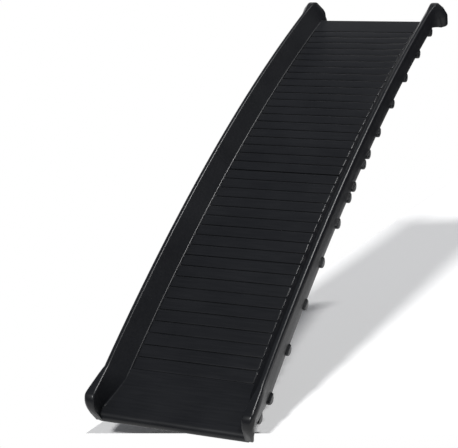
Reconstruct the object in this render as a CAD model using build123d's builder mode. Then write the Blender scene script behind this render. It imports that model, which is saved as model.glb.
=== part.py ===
"""Folding dog ramp: two cambered plastic halves on one steel hinge rod.

The ramp lies open along Y. The lower half runs to -Y and ends in a smooth apron,
the upper half runs to +Y. X is across the ramp and Z is up, with the rubber feet on
z = 0. The walking surface is one long arc about an X axis far below the ramp, so
lengthwise places are stations, measured along that arc from the hinge plane.
"""
from build123d import *
import os
from math import atan2, cos, degrees, floor, hypot, radians, sin

# ---------------------------------------------------------------- driving dimensions
camber_radius = 5400.0  # radius of the walking surface along the ramp
half_length = 815.0  # station of the low end, measured from the hinge plane
joint_gap = 0.6  # gap between the halves when they are open

deck_half_width = 152.5  # walking surface, centre to the foot of the rail
deck_thickness = 4.0
wall_thickness = 3.4
root_radius = 5.0  # between the walking surface and the rail
crest_inner_radius = 5.0  # along the inner edge of the rail top
crest_outer_radius = 3.0

# The rails' points lie this far outside the foot of the rail on the walking surface,
# and a bulge is the fullest point of the outer wall, with its height.
rail_height = 43.0
rail_inner_top = 30.5  # inner edge of the rail top
rail_outer_top = 40.0
rail_skirt = 44.5  # lower edge of the outer wall
rail_bulge = (42.1, 26.0)

low_ear_length = 106.0  # over which the low end's rails rise and spread
low_ear_height = 57.0
low_ear_foot = 28.0
low_ear_inner_top = 23.5
low_ear_outer_top = 47.0
low_ear_bulge = (52.0, 40.0)
low_ear_skirt = 24.5
low_ear_full = 20.0  # length of the end over which the low ear keeps its full section
low_corner_radius = 24.0  # of the low ears, seen from above
low_ear_rounding = 21.0  # of the low ears' ends, seen from the side

top_ear_reach = 5.0  # the top ears end this far past half_length
top_ear_length = 84.0
top_ear_waist = 24.0  # from where the top ear starts to its middle section
top_ear_full = 34.0  # length of the end over which the top ear keeps its full section
top_ear_height = 45.0
top_ear_inner_top = 28.5
top_ear_outer_top = 45.5
top_ear_bulge = (73.5, -6.0)
top_ear_skirt_inset = 8.0  # from the fullest point of the top ear in to its skirt
top_waist_bulge = (55.5, 6.0)
top_waist_skirt_inset = 3.0
top_corner_radius = 26.0
top_ear_rounding = 24.0
top_ear_chamfer = 36.0  # slanted lower part of the top ears' ends
top_ear_chamfer_top = 12.0
top_deck_setback = 45.0  # the top deck edge lies this far inside half_length
top_edge_radius = 5.0
nose_radius = 13.0  # of the low end's front lip
lower_edge_radius = 6.0
pocket_margin = 8.0  # from the rail's foot to the pocket under the low ears' deck
end_trim = 2.0  # overshoot of the cuts that shape the free ends

groove_pitch = 35.2
groove_width = 1.8
groove_depth = 1.1
groove_inset = 3.0  # a groove ends this far inside the foot of the rail
low_apron = 128.0  # smooth deck at the low end
top_apron = 70.0  # smooth deck at the top end

rib_radius = 14.0
rib_sink = 3.0  # depth of the rib's centre below the walking surface
rib_bore_radius = 11.0
rib_end = 48.0  # of the closed ends of a rib, outside the foot of the rail
first_ribs = (44.0, 86.0)  # stations of the close pair beside the hinge
regular_rib_start = 179.5
regular_rib_count = 5
last_rib_setback = 107.5  # of the last regular rib, inside half_length
apron_rib_setback = 56.0  # of the short rib under the low apron, inside half_length
apron_rib_end = 39.0

end_beam_length = 37.0
end_beam_depth = 22.0

hinge_depth = 14.0  # of the hinge axis below the walking surface
knuckle_radius = 7.5
knuckle_count = 6
knuckle_gap = 0.6  # between neighbours along the rod
tongue_reach = 8.9  # the upper deck's edge lies this far over the hinge
tongue_inset = 3.0  # from the rail's foot to the side edges of the tongue
tongue_clearance = 0.6
hinge_beam_end = 16.0  # of the beam behind the knuckles, from the hinge plane
hinge_beam_depth = 13.0
rod_radius = 4.0
rod_clearance = 0.05
rod_chamfer = 0.5
cap_radius = 6.5
cap_length = 7.5
cap_wall = 2.5  # closed end of the cap, past the end of the rod
cap_gap = 0.6  # between a cap and the last knuckle
cap_rounding = 1.5

low_foot_setback = 30.0  # of the low feet's middle, inside half_length
top_foot_setback = 20.0  # of the top feet's middle, inside the top deck edge
foot_length = 17.0  # along the ramp
foot_width = 72.0
foot_inset = 34.5  # of the middle of each foot, inside the foot of the rail
deck_over_floor = 27.5  # walking surface above the floor at the low feet
foot_corner = 3.0
foot_upright_tolerance = 12.0  # tilt of the foot's upright edges, in degrees
foot_screw_spacing = 40.0
screw_radius = 2.0
screw_head_radius = 3.6
screw_head_height = 2.0
screw_length = 9.0  # under the head
screw_seat = 2.0  # rubber left under the head
screw_recess_gap = 0.4  # around the head

fold_clearance = 0.8  # left between the feet when the ramp is folded

latch_setback = 147.0  # of the latch's pivot and stud, inside half_length
latch_height = 9.0  # of the pivot above the walking surface
latch_thickness = 4.0
latch_gap = 0.5  # between the hook and the faces beside it
latch_width = 13.0
latch_end_radius = 9.5
latch_boss_radius = 7.5
latch_boss_face = 47.5  # of the boss faces, outside the foot of the rail
latch_boss_root = 35.5  # of the bosses' inner ends, outside the foot of the rail
latch_pin_radius = 3.0
latch_pin_clearance = 0.08
latch_stud_clearance = 0.5
latch_pin_depth = 9.0  # of the pivot and the stud in their bosses
latch_cap_radius = 5.5  # heads of the pivot and the stud
latch_cap_height = 2.6
latch_cap_rounding = 0.8

# ------------------------------------------------------------------- derived places
foot_offset = deck_half_width - foot_inset
latch_face = deck_half_width + latch_boss_face
low_foot_station = half_length - low_foot_setback
top_deck_end = half_length - top_deck_setback
top_foot_station = top_deck_end - top_foot_setback
top_ear_end = half_length + top_ear_reach
latch_station = half_length - latch_setback
low_ear_start = half_length - low_ear_length
top_ear_start = top_ear_end - top_ear_length
low_reach = (camber_radius + low_ear_height - low_ear_rounding) * sin(
    half_length / camber_radius
)
top_reach = (camber_radius + top_ear_height - top_ear_rounding) * sin(
    top_ear_end / camber_radius
)
hinge_y = (low_reach - top_reach) / 2  # the middle of the ramp lies over the origin
apex_height = deck_over_floor + camber_radius * (
    1 - cos(low_foot_station / camber_radius)
)
arc_centre = apex_height - camber_radius  # z of the camber's axis
hinge_z = apex_height - hinge_depth
regular_rib_pitch = (half_length - last_rib_setback - regular_rib_start) / (
    regular_rib_count - 1
)
ribs = [
    (station, deck_half_width + rib_end)
    for station in first_ribs
    + tuple(regular_rib_start + regular_rib_pitch * i for i in range(regular_rib_count))
]
knuckle_pitch = 2 * deck_half_width / knuckle_count
knuckle_length = knuckle_pitch - knuckle_gap
knuckle_centres = [
    (i - (knuckle_count - 1) / 2) * knuckle_pitch for i in range(knuckle_count)
]
knuckle_end = deck_half_width - knuckle_gap / 2  # outer face of the last knuckle
rod_half_length = knuckle_end + cap_gap + cap_length - cap_wall


def at(station, height=0.0):
    """(y, z) of a point at a station, a height above the walking surface."""
    angle = station / camber_radius
    radius = camber_radius + height
    return hinge_y + radius * sin(angle), arc_centre + radius * cos(angle)


def cross_plane(station):
    """Plane across the ramp: its x is across, its y is off the walking surface."""
    angle = station / camber_radius
    return Plane(
        origin=(0, *at(station)), x_dir=(1, 0, 0), z_dir=(0, -cos(angle), sin(angle))
    )


def side_plane(x, station=0.0):
    """Plane along the ramp at x: its x is along, its y is off the walking surface."""
    angle = station / camber_radius
    return Plane(
        origin=(x, *at(station)), x_dir=(0, cos(angle), -sin(angle)), z_dir=(1, 0, 0)
    )


def deck_plane(x, station, height=0.0):
    """Plane on the walking surface: x across, y along the ramp, z off the surface."""
    angle = station / camber_radius
    return Plane(
        origin=(x, *at(station, height)), x_dir=(1, 0, 0), z_dir=(0, sin(angle), cos(angle))
    )


# The ramp folds until the inner edges of its feet nearly meet.
foot_edge = at(low_foot_station - foot_length / 2, -end_beam_depth)[0] - hinge_y
fold_slope = atan2(hinge_z - fold_clearance / 2, foot_edge)
fold_angle = floor(10 * (180 - 2 * degrees(fold_slope))) / 10

# ---------------------------------------------------------------------- sections
def beside_deck(*points):
    """Section of the right side of the ramp, as (x, height) points.

    The points run from the skirt up over the rail to the foot of the rail. They are
    given as (distance outside the foot of a plain rail, height).
    """
    return [(deck_half_width + out, height) for out, height in points]


rail_section = beside_deck(
    (rail_skirt, -deck_thickness),
    rail_bulge,
    (rail_outer_top, rail_height),
    (rail_inner_top, rail_height),
    (0.0, 0.0),
)
low_ear_section = beside_deck(
    (low_ear_skirt, -end_beam_depth),
    low_ear_bulge,
    (low_ear_outer_top, low_ear_height),
    (low_ear_inner_top, low_ear_height),
    (low_ear_foot, 0.0),
)
top_waist_section = beside_deck(
    (top_waist_bulge[0] - top_waist_skirt_inset, -end_beam_depth / 2),
    top_waist_bulge,
    ((rail_outer_top + top_ear_outer_top) / 2, top_ear_height),
    ((rail_inner_top + top_ear_inner_top) / 2, top_ear_height),
    (0.0, 0.0),
)
top_ear_section = beside_deck(
    (top_ear_bulge[0] - top_ear_skirt_inset, -end_beam_depth),
    top_ear_bulge,
    (top_ear_outer_top, top_ear_height),
    (top_ear_inner_top, top_ear_height),
    (0.0, 0.0),
)


def between(first, last, station):
    """Section at a station between two (station, section) stages."""
    share = (station - first[0]) / (last[0] - first[0])
    return [
        (a[0] + (b[0] - a[0]) * share, a[1] + (b[1] - a[1]) * share)
        for a, b in zip(first[1], last[1])
    ]


low_stages = [
    (low_ear_start, rail_section),
    (half_length - low_ear_full, low_ear_section),
    (half_length, low_ear_section),
]
low_hollow_end = half_length - 2 * low_ear_rounding
low_hollow_stages = [
    low_stages[0],
    (low_hollow_end, between(low_stages[0], low_stages[1], low_hollow_end)),
]
top_stages = [
    (top_ear_start, rail_section),
    (top_ear_start + top_ear_waist, top_waist_section),
    (top_ear_end - top_ear_full, top_ear_section),
    (top_ear_end, top_ear_section),
]
top_hollow_end = top_ear_end - top_ear_chamfer - 3 * wall_thickness
top_hollow_stages = [
    top_stages[0],
    top_stages[1],
    (top_hollow_end, between(top_stages[1], top_stages[2], top_hollow_end)),
]


def outline_points(section):
    """Outline of the whole ramp: both rails, and the deck between them."""
    return section + [(-x, height) for x, height in reversed(section)]


def hollow_points(section, side):
    """Hollow under one rail, one wall thickness inside its outline, open below."""
    skirt, bulge, outer, inner, foot = section
    slant = (inner[0] - foot[0]) / (inner[1] - foot[1])
    inner_wall = wall_thickness * hypot(1, slant)
    top = outer[1] - wall_thickness
    bottom = skirt[1] - 1.0
    points = [
        (foot[0] + slant * bottom + inner_wall, bottom),
        (foot[0] + slant * top + inner_wall, top),
        (outer[0] - wall_thickness, top),
        (bulge[0] - wall_thickness, bulge[1]),
        (skirt[0] - wall_thickness, bottom),
    ]
    return [(side * x, height) for x, height in points]


def round_rails(sketch):
    """Round the rail tops and the roots of the rails in a sketched outline."""
    crests = sketch.vertices().group_by(Axis.Y)[-1].sort_by(lambda v: abs(v.X))
    fillet(crests[:2], crest_inner_radius)
    crests = sketch.vertices().group_by(Axis.Y)[-1].sort_by(lambda v: abs(v.X))
    fillet(crests[-2:], crest_outer_radius)
    fillet([v for v in sketch.vertices() if abs(v.Y) < 0.01], root_radius)


# ------------------------------------------------------------------------ the halves
def ramp_half(way, stages, hollow_stages, half_ribs, ear_foot, deck_end, foot_station,
              end_cuts, corner_radius, grooves, own_knuckles, mate_knuckles, bore_radius):
    """One half of the ramp. way is +1 for the upper half and -1 for the lower.

    stages lists (station, section) from where the ears start to the free end.
    end_cuts lists (station, height, radius, reach, up) of the rounded edges across it.
    """
    start = joint_gap / 2
    hollow_start = start + wall_thickness
    ear_start = stages[0][0]
    ear_end, ear_section = stages[-1]
    beam_start = deck_end - end_beam_length
    camber_axis = Axis((0, hinge_y, arc_centre), (-way, 0, 0))
    with BuildPart() as half:
        # Deck and rails along the arc, then the ears, which rise and spread.
        with BuildSketch(cross_plane(way * start)) as outline:
            with BuildLine():
                Polyline(*outline_points(rail_section), close=True)
            make_face()
            round_rails(outline)
        revolve(axis=camber_axis, revolution_arc=degrees((ear_start - start) / camber_radius))
        for first, last in zip(stages, stages[1:]):
            for station, section in (first, last):
                with BuildSketch(cross_plane(way * station)) as outline:
                    with BuildLine():
                        Polyline(*outline_points(section), close=True)
                    make_face()
                    round_rails(outline)
            loft(ruled=True)

        # The low ears' loft fills the space below the deck; only the beam stays there.
        if beam_start > ear_start:
            length = beam_start - ear_start
            near = deck_half_width - pocket_margin
            far = between(stages[0], stages[1], beam_start)[-1][0] - pocket_margin
            with BuildSketch(deck_plane(0, way * (ear_start + length / 2), -deck_thickness)):
                Polygon(
                    (-near, -way * length / 2),
                    (near, -way * length / 2),
                    (far, way * length / 2),
                    (-far, way * length / 2),
                    align=None,
                )
            extrude(amount=-2 * end_beam_depth, mode=Mode.SUBTRACT)
        with BuildSketch(deck_plane(0, way * foot_station, -end_beam_depth)):
            with Locations((0, way * ((beam_start + deck_end) / 2 - foot_station))):
                Rectangle(2 * ear_foot, end_beam_length)
        extrude(amount=end_beam_depth - deck_thickness / 2)

        # Half-round ribs across the underside, closed at both ends.
        for station, reach in half_ribs:
            with BuildSketch(side_plane(-reach, way * station)):
                with Locations((0, -rib_sink)):
                    Circle(rib_radius)
                with Locations((0, -deck_thickness / 2)):
                    Rectangle(
                        2 * rib_radius,
                        2 * rib_radius,
                        align=(Align.CENTER, Align.MAX),
                        mode=Mode.INTERSECT,
                    )
            extrude(amount=2 * reach)

        # Hollows under the rails, open below.
        for side in (1, -1):
            with BuildSketch(cross_plane(way * hollow_start)):
                with BuildLine():
                    Polyline(*hollow_points(rail_section, side), close=True)
                make_face()
            revolve(
                axis=camber_axis,
                revolution_arc=degrees((ear_start - hollow_start) / camber_radius),
                mode=Mode.SUBTRACT,
            )
            for first, last in zip(hollow_stages, hollow_stages[1:]):
                for station, section in (first, last):
                    with BuildSketch(cross_plane(way * station)):
                        with BuildLine():
                            Polyline(*hollow_points(section, side), close=True)
                        make_face()
                loft(ruled=True, mode=Mode.SUBTRACT)

        # Bores inside the ribs.
        for station, reach in half_ribs:
            with BuildSketch(side_plane(wall_thickness - reach, way * station)):
                with Locations((0, -rib_sink)):
                    Circle(rib_bore_radius)
                with Locations((0, -deck_thickness)):
                    Rectangle(
                        2 * rib_radius,
                        2 * rib_radius,
                        align=(Align.CENTER, Align.MAX),
                        mode=Mode.INTERSECT,
                    )
            extrude(amount=2 * (reach - wall_thickness), mode=Mode.SUBTRACT)

        # Free end: the deck's edge, the ears' ends and the corners seen from above.
        if ear_end > deck_end:
            with Locations(deck_plane(0, way * deck_end)):
                Box(
                    2 * ear_foot,
                    2 * (ear_end - deck_end),
                    4 * end_beam_depth,
                    align=(Align.CENTER, Align.MIN if way > 0 else Align.MAX, Align.CENTER),
                    mode=Mode.SUBTRACT,
                )
        for end, height, radius, reach, up in end_cuts:
            with BuildSketch(side_plane(-reach, way * end)):
                with Locations(
                    (way * (end_trim - radius) / 2, height + up * (end_trim - radius) / 2)
                ):
                    Rectangle(radius + end_trim, radius + end_trim)
                with Locations((-way * radius, height - up * radius)):
                    Circle(radius, mode=Mode.SUBTRACT)
            extrude(amount=2 * reach, mode=Mode.SUBTRACT)
        ear_bulge = ear_section[1][0]
        with BuildSketch(deck_plane(0, way * ear_end, -2 * end_beam_depth)):
            for side in (1, -1):
                with Locations(
                    (
                        side * (ear_bulge + (end_trim - corner_radius) / 2),
                        way * (end_trim - corner_radius) / 2,
                    )
                ):
                    Rectangle(corner_radius + end_trim, corner_radius + end_trim)
                with Locations(
                    (side * (ear_bulge - corner_radius), -way * corner_radius)
                ):
                    Circle(corner_radius, mode=Mode.SUBTRACT)
        extrude(amount=2 * end_beam_depth + low_ear_height + end_trim, mode=Mode.SUBTRACT)

        # Grooves across the walking surface.
        groove_half_length = deck_half_width - groove_inset
        for station in grooves:
            with BuildSketch(side_plane(-groove_half_length, station)):
                Rectangle(groove_width, 2 * groove_depth)
        extrude(amount=2 * groove_half_length, mode=Mode.SUBTRACT)

        # Hinge: a beam across the end of the deck, notched for the neighbour's knuckles,
        # and the half's own knuckles with their bore.
        toward_end = Align.MIN if way > 0 else Align.MAX
        with Locations((0, hinge_y + way * start, apex_height - hinge_beam_depth)):
            Box(
                2 * knuckle_end,
                hinge_beam_end - start,
                hinge_beam_depth - deck_thickness / 2,
                align=(Align.CENTER, toward_end, Align.MIN),
            )
        with Locations(*[(x, hinge_y, apex_height - deck_thickness) for x in mate_knuckles]):
            Box(
                knuckle_length + 2 * knuckle_gap,
                tongue_reach + tongue_clearance / 2,
                2 * hinge_depth,
                align=(Align.CENTER, toward_end, Align.MAX),
                mode=Mode.SUBTRACT,
            )
        with Locations(*[(x, hinge_y, hinge_z) for x in own_knuckles]):
            Cylinder(knuckle_radius, knuckle_length, rotation=(0, 90, 0))
        with Locations((0, hinge_y, hinge_z)):
            Cylinder(
                bore_radius, 2 * deck_half_width, rotation=(0, 90, 0), mode=Mode.SUBTRACT
            )
        # The upper deck reaches over the hinge as a tongue, into a notch of the lower.
        tongue_half_width = deck_half_width - tongue_inset
        if way > 0:
            tongue_tip = tongue_reach - joint_gap / 2
            with BuildSketch(cross_plane(-tongue_tip)):
                Rectangle(
                    2 * tongue_half_width, deck_thickness, align=(Align.CENTER, Align.MAX)
                )
            revolve(
                axis=camber_axis, revolution_arc=degrees((tongue_tip + start) / camber_radius)
            )
        else:
            with BuildSketch(side_plane(-tongue_half_width - tongue_clearance)):
                Rectangle(
                    tongue_reach + joint_gap / 2,
                    2 * (deck_thickness + tongue_clearance),
                    align=(Align.MAX, Align.CENTER),
                )
            extrude(amount=2 * (tongue_half_width + tongue_clearance), mode=Mode.SUBTRACT)

        # Screw holes for the feet, and the boss on the left rail for the latch.
        with Locations(*[deck_plane(x, way * foot_station, -end_beam_depth) for x in screw_places]):
            Cylinder(
                screw_radius,
                screw_length - screw_seat,
                align=(Align.CENTER, Align.CENTER, Align.MIN),
                mode=Mode.SUBTRACT,
            )
        with BuildSketch(side_plane(-deck_half_width - latch_boss_root, way * latch_station)):
            with Locations((0, latch_height)):
                Circle(latch_boss_radius)
        extrude(amount=latch_boss_root - latch_boss_face)
        with BuildSketch(side_plane(-latch_face, way * latch_station)):
            with Locations((0, latch_height)):
                Circle(latch_pin_radius)
        extrude(amount=latch_pin_depth, mode=Mode.SUBTRACT)
    return half.part


screw_places = [
    side * foot_offset + end * foot_screw_spacing / 2 for side in (-1, 1) for end in (-1, 1)
]
low_groove_count = floor((half_length - low_apron - tongue_reach) / groove_pitch)
top_groove_count = floor((top_deck_end - top_apron + tongue_reach) / groove_pitch)
low_grooves = [
    -tongue_reach - groove_pitch * (i + 1) for i in range(low_groove_count)
]
top_grooves = [
    -tongue_reach + groove_pitch * (i + 1) for i in range(top_groove_count)
]
low_foot_x = deck_half_width + low_ear_foot
widest = deck_half_width + top_ear_bulge[0] + end_trim

with BuildPart() as upper_half:
    add(
        ramp_half(
            way=1,
            stages=top_stages,
            hollow_stages=top_hollow_stages,
            half_ribs=ribs,
            ear_foot=deck_half_width,
            deck_end=top_deck_end,
            foot_station=top_foot_station,
            end_cuts=[
                (top_deck_end, 0.0, top_edge_radius, deck_half_width, 1),
                (top_ear_end, top_ear_height, top_ear_rounding, widest, 1),
            ],
            corner_radius=top_corner_radius,
            grooves=top_grooves,
            own_knuckles=knuckle_centres[0::2],
            mate_knuckles=knuckle_centres[1::2],
            bore_radius=rod_radius,
        )
    )
    with BuildSketch(side_plane(-widest, top_ear_end)):
        below = top_ear_chamfer - top_ear_chamfer_top + lower_edge_radius
        Polygon(
            (end_trim, top_ear_chamfer_top + end_trim),
            (end_trim, -below),
            (-top_ear_chamfer_top - below, -below),
            align=None,
        )
    extrude(amount=2 * widest, mode=Mode.SUBTRACT)
upper_half.part.label = "upper_half"

with BuildPart() as lower_half:
    add(
        ramp_half(
            way=-1,
            stages=low_stages,
            hollow_stages=low_hollow_stages,
            half_ribs=ribs + [(half_length - apron_rib_setback, deck_half_width + apron_rib_end)],
            ear_foot=low_foot_x,
            deck_end=half_length,
            foot_station=low_foot_station,
            end_cuts=[
                (half_length, 0.0, nose_radius, low_foot_x, 1),
                (half_length, low_ear_height, low_ear_rounding, widest, 1),
                (half_length, -end_beam_depth, lower_edge_radius, widest, -1),
            ],
            corner_radius=low_corner_radius,
            grooves=low_grooves,
            own_knuckles=knuckle_centres[1::2],
            mate_knuckles=knuckle_centres[0::2],
            bore_radius=rod_radius + rod_clearance,
        )
    )
lower_half.part.label = "lower_half"

# --------------------------------------------------------------------------- the hinge
with BuildPart() as hinge_rod:
    with Locations((0, hinge_y, hinge_z)):
        Cylinder(rod_radius, 2 * rod_half_length, rotation=(0, 90, 0))
    chamfer(hinge_rod.edges().filter_by(GeomType.CIRCLE), rod_chamfer)
hinge_rod.part.label = "hinge_rod"


def rod_cap(side):
    """Closed cap pushed onto one end of the hinge rod."""
    inner = side * (knuckle_end + cap_gap)
    cap_plane = Plane(origin=(inner, hinge_y, hinge_z), x_dir=(0, 1, 0), z_dir=(side, 0, 0))
    with BuildPart() as cap:
        with BuildSketch(cap_plane):
            Circle(cap_radius)
        extrude(amount=cap_length)
        fillet(cap.edges().sort_by(Axis.X)[-1 if side > 0 else 0], cap_rounding)
        with BuildSketch(cap_plane):
            Circle(rod_radius)
        extrude(amount=cap_length - cap_wall, mode=Mode.SUBTRACT)
    return cap.part


with BuildPart() as hinge_cap_left:
    add(rod_cap(-1))
hinge_cap_left.part.label = "hinge_cap_left"

with BuildPart() as hinge_cap_right:
    add(rod_cap(1))
hinge_cap_right.part.label = "hinge_cap_right"


# ----------------------------------------------------------------------------- the feet
def foot_plane(x, way, depth):
    """Plane parallel to the underside of an end beam, its z pointing up."""
    station = top_foot_station if way > 0 else low_foot_station
    return deck_plane(x, way * station, -depth)


def wedge_foot(side, way):
    """Rubber foot under one end beam, its bottom flat on the floor."""
    middle = side * foot_offset
    screws = [middle + end * foot_screw_spacing / 2 for end in (-1, 1)]
    with BuildPart() as foot:
        with Locations(foot_plane(middle, way, end_beam_depth)):
            Box(
                foot_width,
                foot_length,
                deck_over_floor,
                align=(Align.CENTER, Align.CENTER, Align.MAX),
            )
        fillet(foot.edges().filter_by(Axis.Z, tolerance=foot_upright_tolerance), foot_corner)
        split(bisect_by=Plane.XY, keep=Keep.TOP)
        with Locations(*[foot_plane(x, way, end_beam_depth) for x in screws]):
            Cylinder(
                screw_radius,
                screw_seat,
                align=(Align.CENTER, Align.CENTER, Align.MAX),
                mode=Mode.SUBTRACT,
            )
        with Locations(*[foot_plane(x, way, end_beam_depth + screw_seat) for x in screws]):
            Cylinder(
                screw_head_radius + screw_recess_gap,
                deck_over_floor,
                align=(Align.CENTER, Align.CENTER, Align.MAX),
                mode=Mode.SUBTRACT,
            )
    return foot.part


def foot_screws(way):
    """The four screws that hold the feet of one half."""
    with BuildPart() as screws:
        with Locations(*[foot_plane(x, way, end_beam_depth + screw_seat) for x in screw_places]):
            Cylinder(
                screw_head_radius,
                screw_head_height,
                align=(Align.CENTER, Align.CENTER, Align.MAX),
            )
            Cylinder(
                screw_radius, screw_length, align=(Align.CENTER, Align.CENTER, Align.MIN)
            )
    return screws.part


with BuildPart() as foot_top_left:
    add(wedge_foot(-1, 1))
foot_top_left.part.label = "foot_top_left"

with BuildPart() as foot_top_right:
    add(wedge_foot(1, 1))
foot_top_right.part.label = "foot_top_right"

with BuildPart() as foot_low_left:
    add(wedge_foot(-1, -1))
foot_low_left.part.label = "foot_low_left"

with BuildPart() as foot_low_right:
    add(wedge_foot(1, -1))
foot_low_right.part.label = "foot_low_right"

with BuildPart() as foot_screws_top:
    add(foot_screws(1))
foot_screws_top.part.label = "foot_screws_top"

with BuildPart() as foot_screws_low:
    add(foot_screws(-1))
foot_screws_low.part.label = "foot_screws_low"

# ---------------------------------------------------------------------------- the latch
# The hook lies along the left rail of the upper half. When the ramp is folded it
# swings down over the stud of the lower half.
pivot = at(latch_station, latch_height)
stud_open = at(-latch_station, latch_height)
fold = radians(fold_angle)
stud_arm = (stud_open[0] - hinge_y, stud_open[1] - hinge_z)
stud_folded = (
    stud_arm[0] * cos(fold) - stud_arm[1] * sin(fold) + hinge_y,
    stud_arm[0] * sin(fold) + stud_arm[1] * cos(fold) + hinge_z,
)
hook_reach = hypot(stud_folded[0] - pivot[0], stud_folded[1] - pivot[1])
rest_direction = atan2(sin(latch_station / camber_radius), -cos(latch_station / camber_radius))
hooked_direction = atan2(stud_folded[1] - pivot[1], stud_folded[0] - pivot[0])
latch_angle = degrees((hooked_direction - rest_direction) % radians(360))
hook_face = latch_face + latch_gap  # inner face of the hook

with BuildPart() as latch_hook:
    with BuildSketch(side_plane(-hook_face, latch_station)):
        with Locations((-hook_reach / 2, latch_height)):
            Rectangle(hook_reach, latch_width)
        with Locations((0, latch_height), (-hook_reach, latch_height)):
            Circle(latch_end_radius)
        with Locations((0, latch_height)):
            Circle(latch_pin_radius + latch_pin_clearance, mode=Mode.SUBTRACT)
        slot_radius = latch_pin_radius + latch_stud_clearance
        with Locations((-hook_reach, latch_height)):
            Circle(slot_radius, mode=Mode.SUBTRACT)
            Rectangle(
                2 * slot_radius,
                2 * latch_end_radius,
                align=(Align.CENTER, Align.MAX),
                mode=Mode.SUBTRACT,
            )
    extrude(amount=-latch_thickness)
latch_hook.part.label = "latch_hook"


def headed_pin(way):
    """Pin in the latch boss of one half, its head outside the hook."""
    head_face = hook_face + latch_thickness + latch_gap
    with BuildPart() as pin:
        with BuildSketch(side_plane(-head_face, way * latch_station)):
            with Locations((0, latch_height)):
                Circle(latch_cap_radius)
        extrude(amount=-latch_cap_height)
        fillet(pin.edges().sort_by(Axis.X)[0], latch_cap_rounding)
        with BuildSketch(side_plane(-head_face, way * latch_station)):
            with Locations((0, latch_height)):
                Circle(latch_pin_radius)
        extrude(amount=head_face - latch_face + latch_pin_depth)
    return pin.part


with BuildPart() as latch_pivot:
    add(headed_pin(1))
latch_pivot.part.label = "latch_pivot"

with BuildPart() as latch_stud:
    add(headed_pin(-1))
latch_stud.part.label = "latch_stud"

# -------------------------------------------------------------------------- the files
os.makedirs("parts", exist_ok=True)
export_step(upper_half.part, "parts/upper_half.step")
export_step(lower_half.part, "parts/lower_half.step")
export_step(hinge_rod.part, "parts/hinge_rod.step")
export_step(hinge_cap_left.part, "parts/hinge_cap_left.step")
export_step(hinge_cap_right.part, "parts/hinge_cap_right.step")
export_step(foot_top_left.part, "parts/foot_top_left.step")
export_step(foot_top_right.part, "parts/foot_top_right.step")
export_step(foot_low_left.part, "parts/foot_low_left.step")
export_step(foot_low_right.part, "parts/foot_low_right.step")
export_step(foot_screws_top.part, "parts/foot_screws_top.step")
export_step(foot_screws_low.part, "parts/foot_screws_low.step")
export_step(latch_hook.part, "parts/latch_hook.step")
export_step(latch_pivot.part, "parts/latch_pivot.step")
export_step(latch_stud.part, "parts/latch_stud.step")

print(f"fold_hinge: y {hinge_y:.4f} z {hinge_z:.4f} range 0 to {fold_angle:.1f} degrees")
print(f"latch_pivot: y {pivot[0]:.4f} z {pivot[1]:.4f} range 0 to {latch_angle:.3f} degrees")
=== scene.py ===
"""Looks of the folding dog ramp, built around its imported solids.

Lengths of the ramp's pieces are in millimetres, and those of the camera and the floor in
metres. A station is measured along the camber of the walking surface from the hinge
plane, and a height off the walking surface.
"""

from math import atan2, cos, pi, radians, sin, sqrt, tan

import bmesh
import bpy
from mathutils import Matrix, Vector


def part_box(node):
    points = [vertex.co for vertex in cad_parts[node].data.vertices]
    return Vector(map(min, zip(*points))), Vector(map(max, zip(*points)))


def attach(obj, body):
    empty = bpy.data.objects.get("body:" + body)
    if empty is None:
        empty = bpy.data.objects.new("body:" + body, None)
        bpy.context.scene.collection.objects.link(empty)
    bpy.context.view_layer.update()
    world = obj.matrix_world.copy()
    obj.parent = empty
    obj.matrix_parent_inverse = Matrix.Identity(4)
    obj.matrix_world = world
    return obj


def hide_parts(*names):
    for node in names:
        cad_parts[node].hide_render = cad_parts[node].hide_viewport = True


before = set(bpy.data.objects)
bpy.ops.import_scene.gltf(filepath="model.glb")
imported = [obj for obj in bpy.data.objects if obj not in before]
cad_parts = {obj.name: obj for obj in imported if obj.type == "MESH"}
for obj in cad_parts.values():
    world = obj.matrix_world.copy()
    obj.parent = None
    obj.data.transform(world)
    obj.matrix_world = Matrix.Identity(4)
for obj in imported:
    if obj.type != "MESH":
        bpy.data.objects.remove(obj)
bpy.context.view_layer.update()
bpy.ops.object.select_all(action="DESELECT")

MM = 0.001
rod_low, rod_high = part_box("hinge_rod")
HINGE_Y = (rod_low[1] + rod_high[1]) / 2
HINGE_DEPTH = 14.0  # of the hinge rod's axis below the walking surface
APEX = (rod_low[2] + rod_high[2]) / 2 + HINGE_DEPTH * MM
CAMBER = 5400.0  # radius of the walking surface along the ramp
ARC_CENTRE = Vector((0, HINGE_Y, APEX - CAMBER * MM))

# ------------------------------------------------------------------------- the camera
VIEW_AZIMUTH = radians(30.77)
VIEW_ELEVATION = radians(38.544)
VIEW_ROLL = radians(-15.937)
VIEW_DISTANCE = 3.39897
VIEW_ASIDE = (0.13769, 0.13214)  # how far the ramp's middle lies off the view's axis
VIEW_CENTRE = Vector((0.0, HINGE_Y - 0.0089, APEX))
LENS = 105.40


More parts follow.
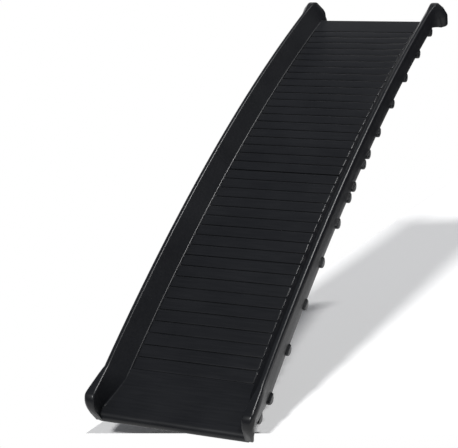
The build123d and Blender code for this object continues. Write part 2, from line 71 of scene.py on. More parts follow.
def aim_camera():
    """Camera in front of the low end, to the right and above, and tilted to one side."""
    back = Vector(
        (
            sin(VIEW_AZIMUTH) * cos(VIEW_ELEVATION),
            -cos(VIEW_AZIMUTH) * cos(VIEW_ELEVATION),
            sin(VIEW_ELEVATION),
        )
    )
    level = (-back).cross(Vector((0, 0, 1))).normalized()
    upright = level.cross(-back)
    right = level * cos(VIEW_ROLL) + upright * sin(VIEW_ROLL)
    up = upright * cos(VIEW_ROLL) - level * sin(VIEW_ROLL)
    place = VIEW_CENTRE + back * VIEW_DISTANCE - right * VIEW_ASIDE[0] - up * VIEW_ASIDE[1]
    bpy.ops.object.camera_add(location=place)
    camera = bpy.context.object
    camera.matrix_world = Matrix(
        (
            (right.x, up.x, back.x, place.x),
            (right.y, up.y, back.y, place.y),
            (right.z, up.z, back.z, place.z),
            (0, 0, 0, 1),
        )
    )
    camera.data.lens = LENS
    camera.data.sensor_width = 36.0
    camera.data.clip_end = 50.0
    bpy.context.scene.camera = camera


aim_camera()


# -------------------------------------------------------------------- modelling helpers
def spot(x, station, height):
    """Where a point lies, from its place across, its station and its height."""
    angle = station / CAMBER
    radius = (CAMBER + height) * MM
    return ARC_CENTRE + Vector((x * MM, radius * sin(angle), radius * cos(angle)))


def pick(piece):
    """Select this piece alone and make it the active one."""
    bpy.ops.object.select_all(action="DESELECT")
    bpy.context.view_layer.objects.active = piece
    piece.select_set(True)


def start_editing(piece):
    pick(piece)
    bpy.ops.object.mode_set(mode="EDIT")


def stop_editing():
    bpy.ops.object.mode_set(mode="OBJECT")


def choose(piece, kind, rule):
    """Select the vertices, edges or faces that a rule takes, and nothing else."""
    bpy.ops.mesh.select_mode(type=kind)
    bpy.ops.mesh.select_all(action="DESELECT")
    mesh = bmesh.from_edit_mesh(piece.data)
    parts = {"VERT": mesh.verts, "EDGE": mesh.edges, "FACE": mesh.faces}[kind]
    for part in parts:
        if rule(part):
            part.select_set(True)
    mesh.select_flush_mode()
    bmesh.update_edit_mesh(piece.data)


def settle(piece):
    """Put the piece's origin at the world's, with its normals outwards."""
    start_editing(piece)
    bpy.ops.mesh.select_mode(type="VERT")
    bpy.ops.mesh.select_all(action="SELECT")
    bpy.ops.mesh.remove_doubles(threshold=1e-6)
    bpy.ops.mesh.normals_make_consistent(inside=False)
    stop_editing()
    bpy.ops.object.transform_apply(location=True, rotation=True, scale=True)


def smooth(piece, angle):
    """Shade smooth, but for edges sharper than an angle."""
    pick(piece)
    bpy.ops.object.shade_smooth_by_angle(angle=radians(angle))


def joined(name, pieces):
    """Several meshes made one piece."""
    bpy.ops.object.select_all(action="DESELECT")
    for piece in pieces:
        piece.select_set(True)
    bpy.context.view_layer.objects.active = pieces[0]
    bpy.ops.object.join()
    pieces[0].name = name
    return pieces[0]


def traced(name, points):
    """Closed outline, pulled point by point from one vertex. Left in edit mode."""
    bpy.ops.object.select_all(action="DESELECT")
    bpy.ops.mesh.primitive_plane_add(size=MM, location=points[0])
    piece = bpy.context.object
    piece.name = name
    start_editing(piece)
    bpy.ops.mesh.select_mode(type="VERT")
    bpy.ops.mesh.select_all(action="SELECT")
    bpy.ops.mesh.merge(type="CENTER")
    for here, there in zip(points, points[1:]):
        bpy.ops.mesh.extrude_region_move(TRANSFORM_OT_translate={"value": there - here})
    choose(piece, "VERT", lambda vertex: len(vertex.link_edges) < 2)
    bpy.ops.mesh.edge_face_add()
    return piece


def lofted(name, outlines):
    """Solid through a row of outlines that all have the same number of points."""
    piece = traced(name, outlines[0])
    mesh = bmesh.from_edit_mesh(piece.data)
    place = piece.matrix_world.copy()
    ring = [
        min(mesh.verts, key=lambda v: (place @ v.co - point).length_squared)
        for point in outlines[0]
    ]
    for before, after in zip(outlines, outlines[1:]):
        bpy.ops.mesh.select_mode(type="EDGE")
        bpy.ops.mesh.select_all(action="DESELECT")
        members = set(ring)
        for vertex in ring:
            for edge in vertex.link_edges:
                if edge.other_vert(vertex) in members:
                    edge.select_set(True)
        bmesh.update_edit_mesh(piece.data)
        bpy.ops.mesh.extrude_edges_move()
        fresh = []
        for old in ring:
            mates = [e.other_vert(old) for e in old.link_edges]
            fresh.append(next(v for v in mates if v.select and v not in members))
        bpy.ops.mesh.select_mode(type="VERT")
        for vertex, here, there in zip(fresh, before, after):
            bpy.ops.mesh.select_all(action="DESELECT")
            vertex.select_set(True)
            bpy.ops.transform.translate(value=there - here)
        ring = fresh
    choose(piece, "EDGE", lambda edge: edge.is_boundary or edge.is_wire)
    bpy.ops.mesh.fill_holes(sides=0)
    stop_editing()
    settle(piece)
    return piece


def round_bar(radius, length, place, sides):
    """Plain bar along x."""
    bpy.ops.object.select_all(action="DESELECT")
    bpy.ops.mesh.primitive_cylinder_add(
        vertices=sides,
        radius=radius * MM,
        depth=length * MM,
        location=place,
        rotation=(0, pi / 2, 0),
    )
    return bpy.context.object


def rounded(corners):
    """Outline whose corners (x, height, radius, points) are rounded off."""
    outline = []
    for i, (x, h, radius, points) in enumerate(corners):
        corner = Vector((x, h))
        if points == 1:
            outline.append(corner)
            continue
        before = (Vector(corners[i - 1][:2]) - corner).normalized()
        after = (Vector(corners[(i + 1) % len(corners)][:2]) - corner).normalized()
        half = before.angle(after) / 2
        middle = corner + (before + after).normalized() * (radius / sin(half))
        first = corner + before * (radius / tan(half)) - middle
        last = corner + after * (radius / tan(half)) - middle
        turn = atan2(first.x * last.y - first.y * last.x, first.dot(last))
        for k in range(points):
            share = turn * k / (points - 1)
            outline.append(
                middle
                + Vector(
                    (
                        first.x * cos(share) - first.y * sin(share),
                        first.x * sin(share) + first.y * cos(share),
                    )
                )
            )
    return outline


# ---------------------------------------------------------------------------- the rails
WALL = 3.4
CREST_RADIUS = 5.0  # along the inner edge of the rail top
SIDE_ROOT = 150.4  # x where a rail starts, inside the deck's edge
RAIL_START = 4.0  # station where the rail gets hollow, behind its closed end
# A section: foot x and height, inner and outer top x, top height, shoulder x and
# height, belly x and height, skirt x and height, share of the hollow.
REGULAR = (152.5, 0.0, 183.0, 193.0, 43.8, 195.0, 32.0, 195.9, 14.0, 197.0, -4.0, 1.0)
# Each row: a station and the section there.
LOW_EAR = [
    (707.0,) + REGULAR,
    (722.0, 156.5, 0.0, 181.9, 195.0, 46.2, 197.8, 35.0, 198.0, 15.0, 194.5, -4.5, 1.0),
    (745.0, 163.5, 0.0, 179.9, 196.6, 50.4, 200.6, 38.0, 199.0, 15.0, 189.0, -7.0, 1.0),
    (768.0, 171.5, 0.0, 177.6, 198.2, 54.6, 203.0, 42.0, 199.0, 16.0, 185.0, -10.5, 0.7),
    (782.0, 176.4, 0.0, 176.2, 199.4, 56.8, 204.4, 44.0, 195.0, 16.0, 181.5, -11.5, 0.2),
    (790.0, 178.6, 0.0, 175.6, 199.8, 57.4, 204.8, 45.0, 191.5, 16.0, 180.0, -12.0, 0.0),
    (796.0, 179.6, -0.4, 175.4, 199.4, 56.8, 204.4, 44.0, 193.0, 15.0, 183.0, -13.0, 0.0),
    (803.5, 180.0, -0.6, 175.6, 197.4, 52.6, 202.8, 41.0, 196.2, 14.0, 187.0, -14.5, 0.0),
    (809.0, 178.6, -2.4, 176.2, 194.8, 46.2, 200.0, 36.5, 197.4, 13.0, 189.5, -15.0, 0.0),
    (813.0, 175.4, -4.0, 176.6, 191.6, 38.0, 196.8, 31.0, 196.2, 12.0, 189.5, -14.0, 0.0),
    (815.0, 173.0, -5.0, 177.4, 188.6, 31.0, 192.4, 26.0, 192.6, 11.0, 188.0, -12.0, 0.0),
]
TOP_EAR = [
    (736.0,) + REGULAR,
    (756.0, 152.5, 0.0, 181.6, 194.0, 44.4, 198.4, 31.0, 203.4, 10.0, 205.5, -12.0, 1.0),
    (768.0, 152.5, 0.0, 180.6, 195.0, 44.8, 202.4, 29.0, 210.2, 8.0, 213.5, -18.5, 0.7),
    (772.0, 152.7, -1.0, 180.2, 195.4, 44.9, 204.0, 28.5, 212.0, 7.5, 215.5, -19.5, 0.6),
    (786.0, 152.9, -1.0, 179.4, 196.6, 45.2, 210.0, 27.5, 221.0, 5.5, 223.0, -22.0, 0.1),
    (797.0, 153.1, -1.0, 179.0, 197.2, 44.4, 213.0, 27.0, 224.6, 5.5, 224.6, -20.0, 0.0),
    (806.0, 153.6, -1.0, 178.8, 197.2, 41.8, 212.6, 26.0, 223.6, 5.5, 221.6, -13.5, 0.0),
    (812.0, 154.6, -0.6, 178.8, 196.4, 39.0, 210.6, 25.0, 219.8, 6.0, 215.6, -7.5, 0.0),
    (817.0, 157.2, 3.6, 179.0, 194.6, 36.2, 206.2, 23.5, 212.4, 7.0, 207.4, 0.0, 0.0),
    (820.5, 161.5, 10.0, 179.6, 192.0, 33.2, 200.6, 22.0, 204.2, 11.0, 199.4, 7.5, 0.0),
    (822.5, 167.0, 16.0, 180.6, 189.0, 29.4, 193.8, 21.5, 195.0, 16.5, 192.0, 13.5, 0.0),
]


def rail_outline(foot, foot_h, inner, outer, top, sh_x, sh_h, be_x, be_h, sk_x, sk_h, hollow):
    """Right rail in section: an upside-down U, filled up as its hollow share falls."""
    crest = min(CREST_RADIUS, (outer - inner) * 0.5, (top - foot_h) * 0.3)
    slant = (inner - foot) / max(top - foot_h, 1.0)
    full_h, full_belly = sk_h + 0.6, sk_h + 0.4  # where the hollow's top and side end
    ceiling = full_h + (top - WALL - full_h) * hollow
    belly = full_belly + (be_h - full_belly) * hollow
    wall_foot = foot + WALL * 1.25 + slant * (sk_h - foot_h)
    wall_top = wall_foot + slant * (ceiling - sk_h)
    far_top = outer - WALL + (sk_x - outer) * (1 - hollow)
    on_deck = foot_h == 0.0
    return rounded(
        [
            (SIDE_ROOT, -0.3, 0.0, 1) if on_deck else (foot, foot_h - 1.0, 0.0, 1),
            (foot, foot_h, 4.0 if on_deck else 0.6, 5),
            (inner, top, crest, 7),
            (outer, top, crest * 1.2, 9),
            (sh_x, sh_h, 12.0, 3),
            (be_x, be_h, 9.0, 3),
            (sk_x, sk_h, 1.0, 4),
            (sk_x - WALL, sk_h + 0.05, 0.0, 1),
            (be_x - WALL + (sk_x - be_x) * (1 - hollow), belly, 0.0, 1),
            (max(far_top, wall_top + 2.0), ceiling, 0.0, 1),
            (wall_top, ceiling, 0.0, 1),
            (wall_foot, sk_h, 0.0, 1),
            (SIDE_ROOT if on_deck else foot, min(sk_h, -4.0) if on_deck else sk_h, 0.0, 1),
        ]
    )


def blended(table, steps):
    """The table's rows with more between them, on smooth curves through them."""
    rows = []
    for i in range(len(table) - 1):
        a = table[max(i - 1, 0)]
        b, c = table[i], table[i + 1]
        d = table[min(i + 2, len(table) - 1)]
        for k in range(steps):
            t = k / steps
            rows.append(
                tuple(
                    q + 0.5 * t * ((r - p) + t * ((2 * p - 5 * q + 4 * r - s)
                                                  + t * (3 * q - p - 3 * r + s)))
                    for p, q, r, s in zip(a, b, c, d)
                )
            )
    rows.append(table[-1])
    return rows


def rail_pair(name, way, ear):
    """Both rails of one half, from the hinge to the ends of their ears."""
    closed = REGULAR[:-1] + (0.0,)
    reach, count = ear[0][0] - RAIL_START, 26
    rows = [(0.3,) + closed, (3.6,) + closed]
    rows += [(RAIL_START + reach * i / count,) + REGULAR for i in range(count)]
    outlines = [
        [spot(p.x, way * row[0], p.y) for p in rail_outline(*row[1:])]
        for row in rows + blended(ear, 3)
    ]
    piece = lofted(name, outlines)
    mirror = piece.modifiers.new("mirror", "MIRROR")
    bpy.ops.object.modifier_apply(modifier=mirror.name)
    settle(piece)
    smooth(piece, 40)
    return piece


# ----------------------------------------------------------------------------- the deck
SLAT_PITCH = 35.2
PART_LINE = -8.9  # station of the line where the two decks part
DECK_SIDE = 152.4
LOW_LINES = [PART_LINE - SLAT_PITCH * (i + 1) for i in range(19)]
TOP_LINES = [PART_LINE + SLAT_PITCH * (i + 1) for i in range(20)]
HALF_LINE = 0.9  # half the width of the line between two bars
PART_GAP = 0.7  # added to either side of the parting line
LOWER_START = -10.5  # stations where the two decks start
UPPER_START = 0.3
TONGUE_START = -7.3
BASE_HEIGHT = -2.6  # of the deck between the bars
DECK_DEPTH = 4.0
TONGUE_SIDE = 149.5  # of the part of the upper deck that reaches over the hinge
LIP_END = 815.0
LIP_RADIUS = 13.0
HEAD_END = 771.0
HEAD_SIDE = DECK_SIDE + 1.5
HEAD_RADIUS = 5.0  # of the round top edge
HEAD_DEPTH = 22.0
HEAD_BEAM = 732.0  # station where the beam under the head starts
HEEL_RADIUS = 4.0  # along the beam's lower edge


def strip(name, profile, left, right):
    """Slab across the ramp whose side view is a row of (station, height) corners."""
    piece = traced(name, [spot(left, station, height) for station, height in profile])
    bpy.ops.mesh.select_all(action="SELECT")
    bpy.ops.mesh.edge_face_add()
    bpy.ops.mesh.extrude_region_move(
        TRANSFORM_OT_translate={"value": Vector(((right - left) * MM, 0, 0))}
    )
    stop_editing()
    settle(piece)
    return piece


def arc_row(first, last, height, count):
    """Even points along the deck at one height."""
    return [(first + (last - first) * i / count, height) for i in range(count + 1)]


def turned(station, height, radius, start, turn, count):
    """Points round an edge, as (station, height)."""
    angles = [radians(start + turn * i / count) for i in range(count + 1)]
    return [(station + radius * cos(a), height + radius * sin(a)) for a in angles]


BAR_SIDE = 149.3
BAR_HALF = SLAT_PITCH / 2 - HALF_LINE
BAR_FOOT = -3.0  # a bar stands this deep, in the base plate
# Side view of a bar: (share of its half width, towards the top end, and height).
BAR_PROFILE = [
    (-1.0, BAR_FOOT), (-1.0, -0.7), (-0.985, -0.38), (-0.95, -0.2), (-0.8, -0.04), (-0.4, 0.06),
    (0.1, 0.08), (0.55, 0.04), (0.79, -0.04), (0.87, -0.24), (0.93, -0.74), (0.975, -1.3),
    (1.0, -1.9), (1.0, BAR_FOOT),
]
# Towards its end a bar gets lower and shorter: (x short of the end, shrink, drop).
BAR_ENDS = [
    (0.0, 3.4, 1.2), (0.35, 2.3, 0.75), (1.0, 1.3, 0.4), (2.0, 0.55, 0.15), (3.6, 0.0, 0.0)
]
BAR_STOPS = (-75.0, 0.0, 75.0)  # x of the outlines between the ends


def one_slat():
    """A raised bar of the deck, at the middle of the ramp, crowned and round-ended."""
    stops = [(-BAR_SIDE + x, shrink, drop) for x, shrink, drop in BAR_ENDS]
    stops += [(x, 0.0, 0.0) for x in BAR_STOPS]
    stops += [(BAR_SIDE - x, shrink, drop) for x, shrink, drop in reversed(BAR_ENDS)]
    outlines = [
        [
            Vector(
                (x, share * (BAR_HALF - shrink), height - (drop if height > BAR_FOOT else 0))
            )
            * MM
            for share, height in BAR_PROFILE
        ]
        for x, shrink, drop in stops
    ]
    return lofted("bar", outlines)


def slats(name, middles):
    """A bar at every station of a row, standing on the deck."""
    first = one_slat()
    row = [first]
    for station in middles[1:]:
        pick(first)
        bpy.ops.object.duplicate()
        row.append(bpy.context.object)
    for bar, station in zip(row, middles):
        bar.location = spot(0, station, 0)
        bar.rotation_euler = (-station / CAMBER, 0, 0)
    piece = joined(name, row)
    settle(piece)
    smooth(piece, 32)
    return piece


def apron():
    """The smooth low end of the deck, which spreads into a round lip."""
    nose_start = LIP_END - LIP_RADIUS
    start, thin = LOW_LINES[-1] - HALF_LINE, DECK_DEPTH
    rows = [  # station, half width above and below, depth
        (start, 152.5, 152.5, thin), (-707, 153.5, 153.5, thin), (-730, 160.5, 160.0, thin),
        (-745, 165.5, 165.0, thin), (-775, 176.0, 174.0, thin),
        (-776, 176.4, 174.0, 20.0), (-792, 180.0, 177.0, 22.0), (-nose_start, 182.0, 178.5, 22.0),
        (-805.3, 182.6, 179.0, 22.0), (-808.5, 183.0, 178.6, 21.6), (-811.2, 183.0, 177.8, 20.2),
        (-813.2, 182.6, 177.0, 18.2), (-814.5, 182.0, 176.6, 16.0), (-LIP_END, 181.0, 177.0, 14.4),
    ]
    outlines = []
    for station, half, low_half, drop in rows:
        past = max(0.0, -station - nose_start)
        top = sqrt(max(0.0, LIP_RADIUS**2 - past**2)) - LIP_RADIUS
        above = [spot(x * half, station, top) for x in (-1, -0.5, 0, 0.5, 1)]
        outlines.append(above + [spot(x * low_half, station, -drop) for x in (1, -1)])
    piece = lofted("apron", outlines)
    smooth(piece, 30)
    return piece


def head():
    """The plain top end of the deck, with its round edge."""
    start = TOP_LINES[-1] + HALF_LINE
    piece = strip(
        "head",
        arc_row(start, HEAD_END - HEAD_RADIUS - 1, 0.0, 5)
        + turned(HEAD_END - HEAD_RADIUS, -HEAD_RADIUS, HEAD_RADIUS, 90, -90, 7)
        + turned(HEAD_END - HEEL_RADIUS, HEEL_RADIUS - HEAD_DEPTH, HEEL_RADIUS, 0, -90, 4)
        + [(HEAD_BEAM, -HEAD_DEPTH), (HEAD_BEAM, -DECK_DEPTH)]
        + arc_row(HEAD_BEAM - 4, start, -DECK_DEPTH, 3),
        -HEAD_SIDE,
        HEAD_SIDE,
    )
    smooth(piece, 30)
    return piece


def base_plate(name, first, last, side):
    """The thin part of a deck, on which the bars stand."""
    profile = arc_row(first, last, BASE_HEIGHT, 20) + arc_row(last, first, -DECK_DEPTH, 20)
    return strip(name, profile, -side, side)


lower_rails = rail_pair("lower_rails", -1, LOW_EAR)
upper_rails = rail_pair("upper_rails", 1, TOP_EAR)
lower_deck = joined(
    "lower_deck",
    [
        base_plate("lower_base", LOWER_START, -700.0, DECK_SIDE),
        slats("lower_bars", [line + SLAT_PITCH / 2 - PART_GAP for line in LOW_LINES]),
        apron(),
    ],
)
upper_deck = joined(
    "upper_deck",
    [
        base_plate("upper_base", UPPER_START, 715.0, DECK_SIDE),
        base_plate("tongue", TONGUE_START, 2.0, TONGUE_SIDE),
        slats("upper_bars", [line - SLAT_PITCH / 2 + PART_GAP for line in TOP_LINES]),
        head(),
    ],
)

# ----------------------------------------------------------------------------- the ribs
RIBS = (44.0, 86.0, 179.5, 311.5, 443.5, 575.5, 707.5)  # stations, on either side
RIB_RADIUS = 14.0
RIB_AXIS = -3.0  # height of the round part's axis
RIB_TOP = -2.0
RIB_ROUNDING = 3.0
RIB_REACH = 201.0  # x of the ends
APRON_RIB = (-759.0, 192.0)


def rib(station, reach):
    """Half-round rib across the underside, its ends rounded off."""
    bar = round_bar(RIB_RADIUS, 2 * reach, (0, 0, RIB_AXIS * MM), 40)
    bpy.ops.object.transform_apply(location=True, rotation=True, scale=True)
    start_editing(bar)
    bpy.ops.mesh.select_all(action="SELECT")
    bpy.ops.mesh.bisect(
        plane_co=(0, 0, RIB_TOP * MM), plane_no=(0, 0, 1), use_fill=True, clear_outer=True
    )

    def at_round_end(edge):
        ends = edge.verts
        outside = all(abs(v.co.x) > (reach - 0.1) * MM for v in ends)
        return outside and min(v.co.z for v in ends) < (RIB_TOP - 0.2) * MM

    choose(bar, "EDGE", at_round_end)
    bpy.ops.mesh.bevel(offset=RIB_ROUNDING * MM, segments=4, profile=0.5)
    stop_editing()
    bar.location = spot(0, station, 0)
    bar.rotation_euler = (-station / CAMBER, 0, 0)
    bpy.ops.object.transform_apply(location=True, rotation=True, scale=True)
    return bar


lower_ribs = joined("lower_ribs", [rib(-s, RIB_REACH) for s in RIBS] + [rib(*APRON_RIB)])
upper_ribs = joined("upper_ribs", [rib(s, RIB_REACH) for s in RIBS])
for piece in (lower_ribs, upper_ribs):
    settle(piece)
    smooth(piece, 35)

# ---------------------------------------------------------- the hinge and latch seats
KNUCKLES = 6  # of both halves together
KNUCKLE_PITCH = 305.0 / KNUCKLES
KNUCKLE_LENGTH = KNUCKLE_PITCH - 0.6
KNUCKLE_RADIUS = 7.5
ROD_HOLE = 4.05  # radius
BEAM = (9.4, 16.2, -13.0, -2.6)  # stations and heights of the beam behind the knuckles
BLOCK = (0.4, -10.4)  # station and height of the corner nearest to the knuckle
UNDER_TONGUE = -4.8  # height of the lower half's blocks
BAR_EDGE = 0.7  # softening of a round bar's ends
LATCH_BOSS_RADIUS = 7.5
LATCH_BOSS_LENGTH = 11.8
LATCH_BOSS_X = -194.1
LATCH_STATION = 668.0
LATCH_HEIGHT = 9.0


def turned_bar(name, radius, length, place, hole=0.0):
    """Round bar along x with softened ends, and bored through if a hole is given."""
    bar = round_bar(radius, length, place, 48)
    bar.name = name
    start_editing(bar)
    choose(bar, "FACE", lambda f: len(f.verts) > 4)
    bpy.ops.mesh.bevel(offset=BAR_EDGE * MM, segments=3)
    if hole:
        choose(bar, "FACE", lambda f: len(f.verts) > 4)
        bpy.ops.mesh.inset(thickness=(radius - BAR_EDGE - hole) * MM)
        choose(bar, "FACE", lambda f: len(f.verts) > 4)
        bpy.ops.mesh.bridge_edge_loops()
    stop_editing()
    settle(bar)
    return bar


def hinge_side(name, way, order):
    """Knuckles of one half, the beam behind them and the blocks that carry them."""
    near, far, low, high = BEAM
    edge, slope = BLOCK
    top = high if way > 0 else UNDER_TONGUE
    beam = [(way * near, low), (way * far, low), (way * far, high), (way * near, high)]
    block = [(way * edge, slope), (way * near, low), (way * near, top), (way * edge, top)]
    half = KNUCKLE_LENGTH / 2 - 0.2
    pieces = [strip("beam", beam, -DECK_SIDE, DECK_SIDE)]
    for i in order:
        x = (i - (KNUCKLES - 1) / 2) * KNUCKLE_PITCH
        axle = Vector((x * MM, HINGE_Y, APEX - HINGE_DEPTH * MM))
        pieces.append(turned_bar("knuckle", KNUCKLE_RADIUS, KNUCKLE_LENGTH, axle, ROD_HOLE))
        pieces.append(strip("block", block, x - half, x + half))
    piece = joined(name, pieces)
    smooth(piece, 30)
    return piece


def latch_seat(name, way):
    """Round boss on the outside of the left rail, under the latch's pivot or stud."""
    place = spot(LATCH_BOSS_X, way * LATCH_STATION, LATCH_HEIGHT)
    piece = turned_bar(name, LATCH_BOSS_RADIUS, LATCH_BOSS_LENGTH, place)
    smooth(piece, 30)
    return piece


lower_hinge = hinge_side("lower_hinge", -1, (1, 3, 5))
upper_hinge = hinge_side("upper_hinge", 1, (0, 2, 4))
lower_seat = latch_seat("lower_latch_seat", -1)
upper_seat = latch_seat("upper_latch_seat", 1)


# -------------------------------------------------------------------------- materials
class Flow:
    """A value, vector or colour inside a shader, which reckons with +, - and *."""

    def __init__(self, tree, socket):
        self.tree = tree
        self.socket = socket

    def reckon(self, operation, first, second):
        step = self.tree.nodes.new("ShaderNodeMath")
        step.operation = operation
        for inlet, value in zip(step.inputs, (first, second)):
            feed(self.tree, inlet, value)
        return Flow(self.tree, step.outputs[0])

    def __add__(self, other):
        return self.reckon("ADD", self, other)

    def __sub__(self, other):
        return self.reckon("SUBTRACT", self, other)

    def __mul__(self, other):
        return self.reckon("MULTIPLY", self, other)


def feed(tree, inlet, value):
    """Put a constant or another node's output into a socket."""
    if isinstance(value, Flow):
        tree.links.new(value.socket, inlet)
    else:
        inlet.default_value = value


class Shade:
    """A shader's node tree and the ways to add to it."""

    def __init__(self, tree):
        self.tree = tree

    def node(self, kind, outlet, settings=None, **inlets):
        """Add a node with its settings and inputs, and give one of its outputs."""
        made = self.tree.nodes.new(kind)
        for key, value in (settings or {}).items():
            setattr(made, key, value)
        for key, value in inlets.items():
            inlet = next(i for i in made.inputs if i.enabled and i.name.replace(" ", "_") == key)
            feed(self.tree, inlet, value)
        return Flow(self.tree, next(o for o in made.outputs if o.enabled and o.name == outlet))

    def grain(self, fineness, detail):
        """Noise fixed to the piece, with its fineness along x, y and z per metre."""
        place = self.node("ShaderNodeTexCoord", "Object")
        place = self.node(
            "ShaderNodeMapping", "Vector", {"vector_type": "POINT"}, Vector=place, Scale=fineness
        )
        return self.node(
            "ShaderNodeTexNoise", "Fac", Vector=place, Scale=1.0, Detail=detail, Roughness=0.5
        )

    def ranged(self, value, settings, before, after):
        """Carry a value from one range over to another."""
        return self.node(
            "ShaderNodeMapRange",
            "Result",
            settings,
            Value=value,
            From_Min=before[0],
            From_Max=before[1],
            To_Min=after[0],
            To_Max=after[1],
        )

    def mixed(self, share, first, second):
        return self.node(
            "ShaderNodeMix", "Result", {"data_type": "RGBA"}, Factor=share, A=first, B=second
        )

    def spread(self, value, low, high):
        """Stretch the middle of a grain over a range."""
        return self.ranged(value, {}, (0.3, 0.7), (low, high))

    def step(self, value, first, last):
        """Soft step from 0 to 1."""
        return self.ranged(value, {"interpolation_type": "SMOOTHSTEP"}, (first, last), (0.0, 1.0))

    def bumped(self, height, distance, strength):
        return self.node(
            "ShaderNodeBump", "Normal", Height=height, Distance=distance, Strength=strength
        )


def surface(name, **constants):
    """A new material, and its shader's constants."""
    material = bpy.data.materials.new(name)
    material.use_nodes = True
    shader = material.node_tree.nodes["Principled BSDF"]
    for key, value in constants.items():
        shader.inputs[key.replace("_", " ")].default_value = value
    return material, Shade(material.node_tree), shader.inputs


# Fineness of each grain along x, y and z, and its detail.
CLOUD = ((9.0, 9.0, 9.0), 5.0)
STREAK = ((14.0, 260.0, 260.0), 3.0)
SKIN = ((1500.0, 1500.0, 1500.0), 2.0)
SCRATCH = ((60.0, 900.0, 900.0), 3.0)
STAIN = ((50.0, 50.0, 50.0), 4.0)


def moulded(name, dark, light, gloss, depth, level):
    """Plastic or rubber: two close tones, uneven gloss and a moulded grain."""
    material, shade, inputs = surface(name, Specular_IOR_Level=level)
    cloud, streak, skin = (shade.grain(*kind) for kind in (CLOUD, STREAK, SKIN))
    tone = shade.spread(cloud * 0.6 + streak * 0.4, 0.0, 1.0)
    feed(shade.tree, inputs["Base Color"], shade.mixed(tone, dark, light))
    feed(shade.tree, inputs["Roughness"], shade.spread(cloud * 0.35 + streak * 0.65, *gloss))
    relief = skin * 0.6 + streak * 0.4
    feed(shade.tree, inputs["Normal"], shade.bumped(relief, depth, 0.35))
    return material


def metal(name, tone, gloss):
    """Drawn or rolled steel with fine scratches."""
    material, shade, inputs = surface(name, Metallic=1.0)
    scratch, stain = (shade.grain(*kind) for kind in (SCRATCH, STAIN))
    worn = tuple(channel * 0.8 for channel in tone[:3]) + (1.0,)
    feed(shade.tree, inputs["Base Color"], shade.mixed(shade.spread(stain, 0.0, 1.0), tone, worn))
    feed(shade.tree, inputs["Roughness"], shade.spread(scratch * 0.6 + stain * 0.4, *gloss))
    feed(shade.tree, inputs["Normal"], shade.bumped(scratch, 0.00004, 0.3))
    return material


shell = moulded(
    "shell_plastic",
    dark=(0.0050, 0.0054, 0.0065, 1),
    light=(0.0074, 0.0079, 0.0093, 1),
    gloss=(0.30, 0.40),
    depth=0.00005,
    level=0.3,
)
fitting = moulded(
    "fitting_plastic",
    dark=(0.008, 0.008, 0.009, 1),
    light=(0.012, 0.012, 0.013, 1),
    gloss=(0.5, 0.6),
    depth=0.00006,
    level=0.4,
)
rubber = moulded(
    "rubber",
    dark=(0.011, 0.011, 0.011, 1),
    light=(0.018, 0.018, 0.018, 1),
    gloss=(0.82, 0.95),
    depth=0.0001,
    level=0.2,
)
rod_steel = metal("rod_steel", (0.50, 0.50, 0.49, 1), gloss=(0.24, 0.4))
screw_steel = metal("screw_steel", (0.58, 0.58, 0.55, 1), gloss=(0.2, 0.36))
pin_steel = metal("pin_steel", (0.42, 0.42, 0.43, 1), gloss=(0.28, 0.42))

FINISH = {
    "lower_half": shell,
    "upper_half": shell,
    "hinge_rod": rod_steel,
    "hinge_cap_left": fitting,
    "hinge_cap_right": fitting,
    "latch_hook": fitting,
    "latch_pivot": pin_steel,
    "latch_stud": pin_steel,
    "foot_screws_low": screw_steel,
    "foot_screws_top": screw_steel,
}
for name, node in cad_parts.items():
    node.data.materials.clear()
    node.data.materials.append(FINISH.get(name, rubber))
for body, pieces in (
    ("lower", (lower_rails, lower_deck, lower_ribs, lower_hinge, lower_seat)),
    ("upper", (upper_rails, upper_deck, upper_ribs, upper_hinge, upper_seat)),
):
    for piece in pieces:
        piece.data.materials.clear()
        piece.data.materials.append(shell)
        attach(piece, body)
        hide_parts(body + "_half")

# ---------------------------------------------------------------- the floor and lights
FLOOR_NORMAL = Vector((-0.139, 0.484, 0.864)).normalized()
FLOOR_CORNER = Vector((0.19, -0.800, 0.0012))  # under the right end of the lip
FLOOR_SPAN = (-0.45, 0.48)  # across, from the corner, in metres
FLOOR_REACH = (0.05, 4.25)  # along
FLOOR_GREY = 0.8
HORIZON = (1.0, 1.0, 1.0, 1)
OVERHEAD = (0.09, 0.095, 0.11, 1)
SCREEN = (0.03, 0.03, 0.035, 1)


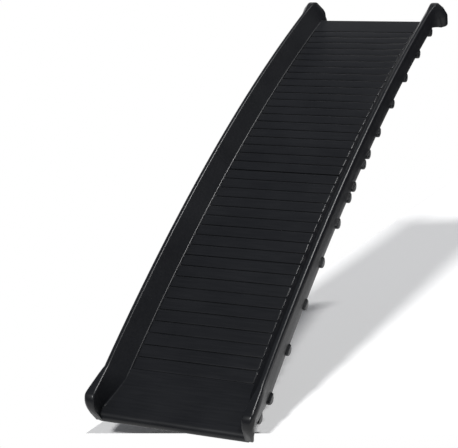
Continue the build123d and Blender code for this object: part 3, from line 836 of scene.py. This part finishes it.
def lay_floor():
    """Pale slope behind the ramp, which takes its shadow."""
    along = FLOOR_NORMAL.cross(Vector((1, 0, 0))).normalized()
    across = along.cross(FLOOR_NORMAL)
    middle = FLOOR_CORNER + across * sum(FLOOR_SPAN) / 2 + along * sum(FLOOR_REACH) / 2
    bpy.ops.mesh.primitive_plane_add(size=1, location=middle)
    floor = bpy.context.object
    floor.name = "floor"
    floor.scale = (FLOOR_SPAN[1] - FLOOR_SPAN[0], FLOOR_REACH[1] - FLOOR_REACH[0], 1)
    floor.rotation_euler = Matrix((across, along, FLOOR_NORMAL)).transposed().to_euler()
    colour = (FLOOR_GREY, FLOOR_GREY, FLOOR_GREY, 1)
    material = surface("floor", Base_Color=colour, Specular_IOR_Level=0.1, Roughness=0.9)[0]
    floor.data.materials.append(material)


def add_sun(name, travel, strength, width):
    """Sun whose light goes the way of a vector, as wide as an angle in degrees."""
    bpy.ops.object.light_add(type="SUN", location=Vector(travel) * -4)
    lamp = bpy.context.object
    lamp.name = name
    lamp.rotation_euler = Vector(travel).to_track_quat("-Z", "Y").to_euler()
    lamp.data.energy = strength
    lamp.data.angle = radians(width)


def set_world():
    """Pale studio: white up to the horizon, grey overhead, and a dark screen aside."""
    world = bpy.data.worlds.new("studio")
    bpy.context.scene.world = world
    world.use_nodes = True
    shade = Shade(world.node_tree)
    place = shade.node("ShaderNodeTexCoord", "Generated")
    x, y, z = (shade.node("ShaderNodeSeparateXYZ", axis, Vector=place) for axis in "XYZ")
    sky = shade.mixed(shade.step(z, -0.04, 0.18), HORIZON, OVERHEAD)
    screen = shade.step(x * 0.60 + y * 0.72 - z * 0.35, 0.76, 0.88)
    sky = shade.mixed(screen, sky, SCREEN)
    feed(world.node_tree, world.node_tree.nodes["Background"].inputs["Color"], sky)


lay_floor()
set_world()
add_sun("key", (-0.015, 0.396, -0.918), 3.3, 7.0)
add_sun("rim", (-0.33, -0.65, -0.684), 2.2, 6.0)
bpy.context.scene.view_settings.view_transform = "Standard"
